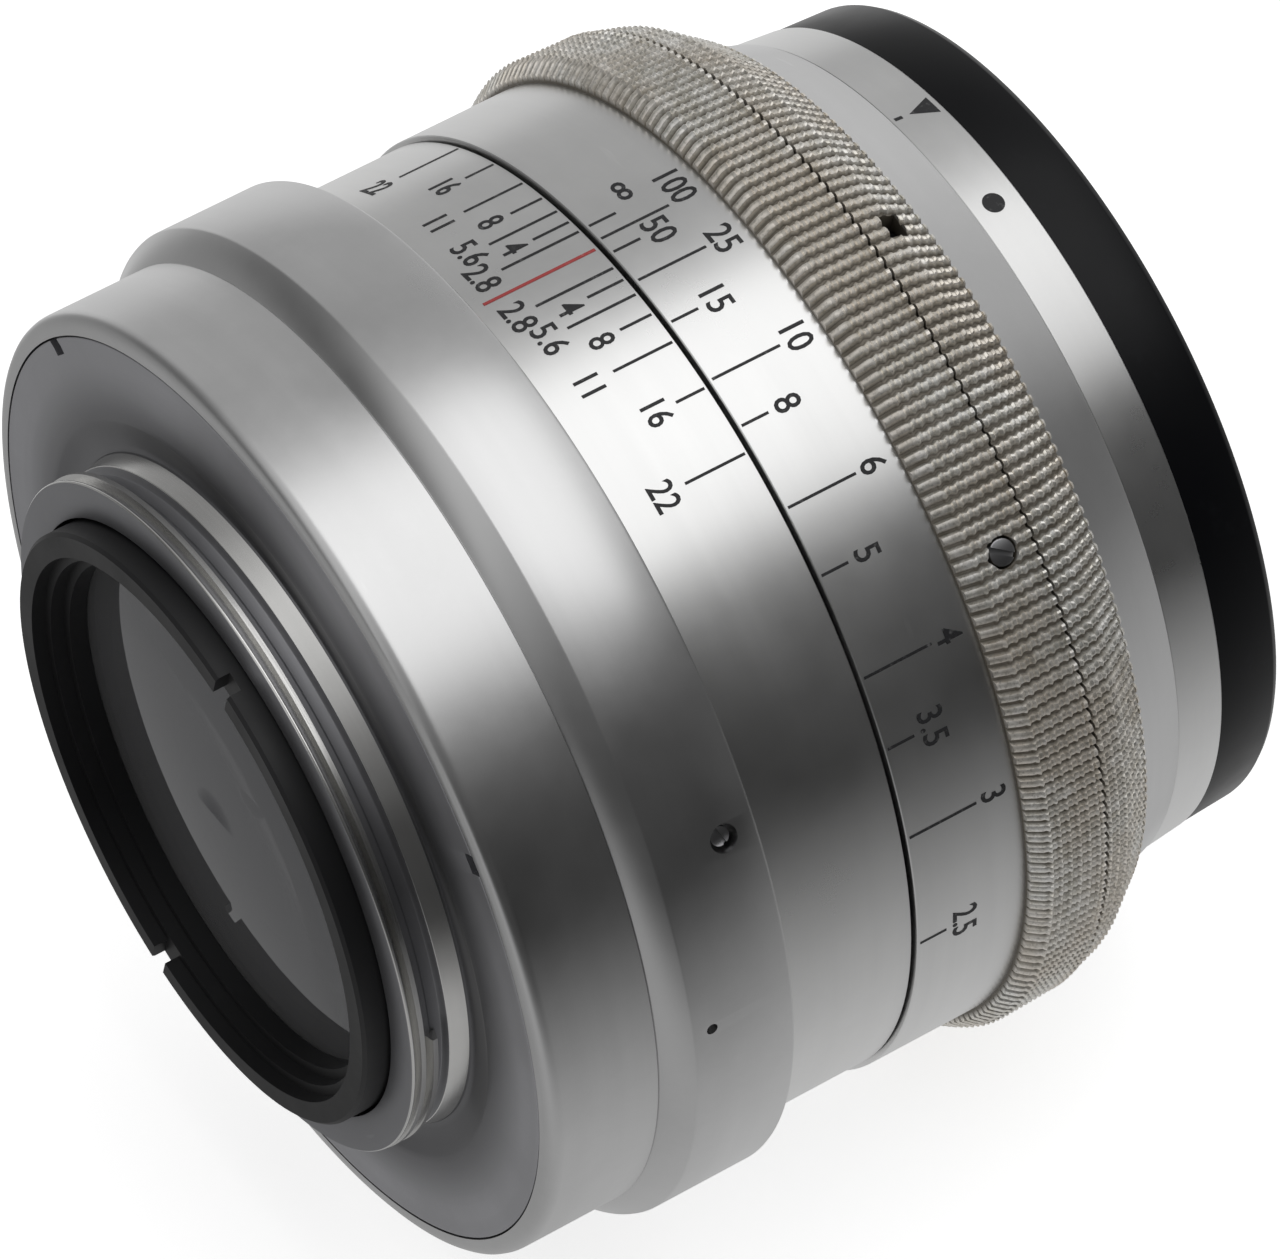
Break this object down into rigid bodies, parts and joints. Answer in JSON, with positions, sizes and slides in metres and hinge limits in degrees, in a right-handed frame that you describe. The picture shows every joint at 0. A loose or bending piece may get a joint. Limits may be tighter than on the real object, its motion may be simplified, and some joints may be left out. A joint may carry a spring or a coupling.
{
  "type": "prime lens",
  "caption": "Manual prime lens: screw mount, fixed depth scale, turning focus ring that slides the glass forward, aperture ring with a bladed iris, and filter rim.",
  "frame": {"origin": "centre of the flange seat that rests on the camera", "axes": "+Y along the optical axis towards the camera, the front glass faces -Y, +Z through the index line"},
  "size_m": [0.062, 0.057, 0.062],
  "materials": {
    "satin_aluminium": "satin turned aluminium, light wear",
    "light_aluminium": "pale fine-turned aluminium with engraved scales",
    "knurled_metal": "fine knurled nickel-toned metal",
    "bright_metal": "bright machined aluminium",
    "black_metal": "satin black lacquer",
    "black_anodised": "matt black anodised",
    "brass": "machined brass",
    "steel": "turned steel",
    "dark_steel": "blackened spring steel",
    "lens_glass": "polished optical glass"
  },
  "bodies": {
    "barrel": {"mount_flange": "bright_metal", "rear_barrel": "satin_aluminium", "collar_ring": "satin_aluminium", "collar_screws": "steel", "depth_scale_ring": "light_aluminium", "helicoid_keeper": "brass", "guide_key": "brass", "guide_key_screws": "steel"},
    "focusing_ring": {"distance_scale_ring": "light_aluminium", "focus_grip": "knurled_metal", "focus_grip_screws": "steel", "helicoid_nut": "brass", "focus_stop_pin": "steel"},
    "optics": {"inner_barrel": "satin_aluminium", "front_barrel": "satin_aluminium", "index_ring": "light_aluminium", "filter_rim": "black_metal", "front_bezel": "black_anodised", "front_cell": "black_anodised", "front_lens": "lens_glass", "front_lens_retainer": "black_anodised", "front_doublet_front_glass": "lens_glass", "front_doublet_rear_glass": "lens_glass", "front_doublet_retainer": "black_anodised", "rear_cell": "black_anodised", "rear_lens": "lens_glass", "rear_doublet_front_glass": "lens_glass", "rear_doublet_rear_glass": "lens_glass", "rear_doublet_retainer": "black_anodised", "rear_retaining_ring": "black_anodised", "iris_housing": "black_anodised"},
    "aperture": {"aperture_ring": "knurled_metal", "iris_drive_sleeve": "brass", "aperture_drive_screw": "steel"},
    "blade_1": {"iris_blade_1": "dark_steel"},
    "blade_2": {"iris_blade_2": "dark_steel"},
    "blade_3": {"iris_blade_3": "dark_steel"},
    "blade_4": {"iris_blade_4": "dark_steel"},
    "blade_5": {"iris_blade_5": "dark_steel"},
    "blade_6": {"iris_blade_6": "dark_steel"},
    "blade_7": {"iris_blade_7": "dark_steel"},
    "blade_8": {"iris_blade_8": "dark_steel"},
    "blade_9": {"iris_blade_9": "dark_steel"},
    "blade_10": {"iris_blade_10": "dark_steel"}
  },
  "joints": [
    {"name": "focus_turn", "type": "hinge", "parent": "barrel", "child": "focusing_ring", "pos_m": [0, 0, 0], "axis": [0, 1, 0], "range_deg": [-3, 93]},
    {"name": "optics_slide", "type": "slide", "parent": "barrel", "child": "optics", "axis": [0, -1, 0], "range_m": [-0.00017, 0.00513]},
    {"name": "aperture_turn", "type": "hinge", "parent": "optics", "child": "aperture", "pos_m": [0, -0.0404, 0], "axis": [0, 1, 0], "range_deg": [0, 36]},
    {"name": "blade_1_swing", "type": "hinge", "parent": "optics", "child": "blade_1", "pos_m": [0.019, -0.0188, 0], "axis": [0, 1, 0], "range_deg": [-30.8, 0]},
    {"name": "blade_2_swing", "type": "hinge", "parent": "optics", "child": "blade_2", "pos_m": [0.01537, -0.0188, -0.01117], "axis": [0, 1, 0], "range_deg": [-30.8, 0]},
    {"name": "blade_3_swing", "type": "hinge", "parent": "optics", "child": "blade_3", "pos_m": [0.00587, -0.0188, -0.01807], "axis": [0, 1, 0], "range_deg": [-30.8, 0]},
    {"name": "blade_4_swing", "type": "hinge", "parent": "optics", "child": "blade_4", "pos_m": [-0.00587, -0.0188, -0.01807], "axis": [0, 1, 0], "range_deg": [-30.8, 0]},
    {"name": "blade_5_swing", "type": "hinge", "parent": "optics", "child": "blade_5", "pos_m": [-0.01537, -0.0188, -0.01117], "axis": [0, 1, 0], "range_deg": [-30.8, 0]},
    {"name": "blade_6_swing", "type": "hinge", "parent": "optics", "child": "blade_6", "pos_m": [-0.019, -0.0188, 0], "axis": [0, 1, 0], "range_deg": [-30.8, 0]},
    {"name": "blade_7_swing", "type": "hinge", "parent": "optics", "child": "blade_7", "pos_m": [-0.01537, -0.0188, 0.01117], "axis": [0, 1, 0], "range_deg": [-30.8, 0]},
    {"name": "blade_8_swing", "type": "hinge", "parent": "optics", "child": "blade_8", "pos_m": [-0.00587, -0.0188, 0.01807], "axis": [0, 1, 0], "range_deg": [-30.8, 0]},
    {"name": "blade_9_swing", "type": "hinge", "parent": "optics", "child": "blade_9", "pos_m": [0.00587, -0.0188, 0.01807], "axis": [0, 1, 0], "range_deg": [-30.8, 0]},
    {"name": "blade_10_swing", "type": "hinge", "parent": "optics", "child": "blade_10", "pos_m": [0.01537, -0.0188, 0.01117], "axis": [0, 1, 0], "range_deg": [-30.8, 0]}
  ],
  "couplings": [
    {"joint": "focus_turn", "follows": "optics_slide", "rad_per_m": 316.16},
    {"joint": "blade_1_swing", "follows": "aperture_turn", "ratio": -0.85556},
    {"joint": "blade_2_swing", "follows": "aperture_turn", "ratio": -0.85556},
    {"joint": "blade_3_swing", "follows": "aperture_turn", "ratio": -0.85556},
    {"joint": "blade_4_swing", "follows": "aperture_turn", "ratio": -0.85556},
    {"joint": "blade_5_swing", "follows": "aperture_turn", "ratio": -0.85556},
    {"joint": "blade_6_swing", "follows": "aperture_turn", "ratio": -0.85556},
    {"joint": "blade_7_swing", "follows": "aperture_turn", "ratio": -0.85556},
    {"joint": "blade_8_swing", "follows": "aperture_turn", "ratio": -0.85556},
    {"joint": "blade_9_swing", "follows": "aperture_turn", "ratio": -0.85556},
    {"joint": "blade_10_swing", "follows": "aperture_turn", "ratio": -0.85556}
  ]
}
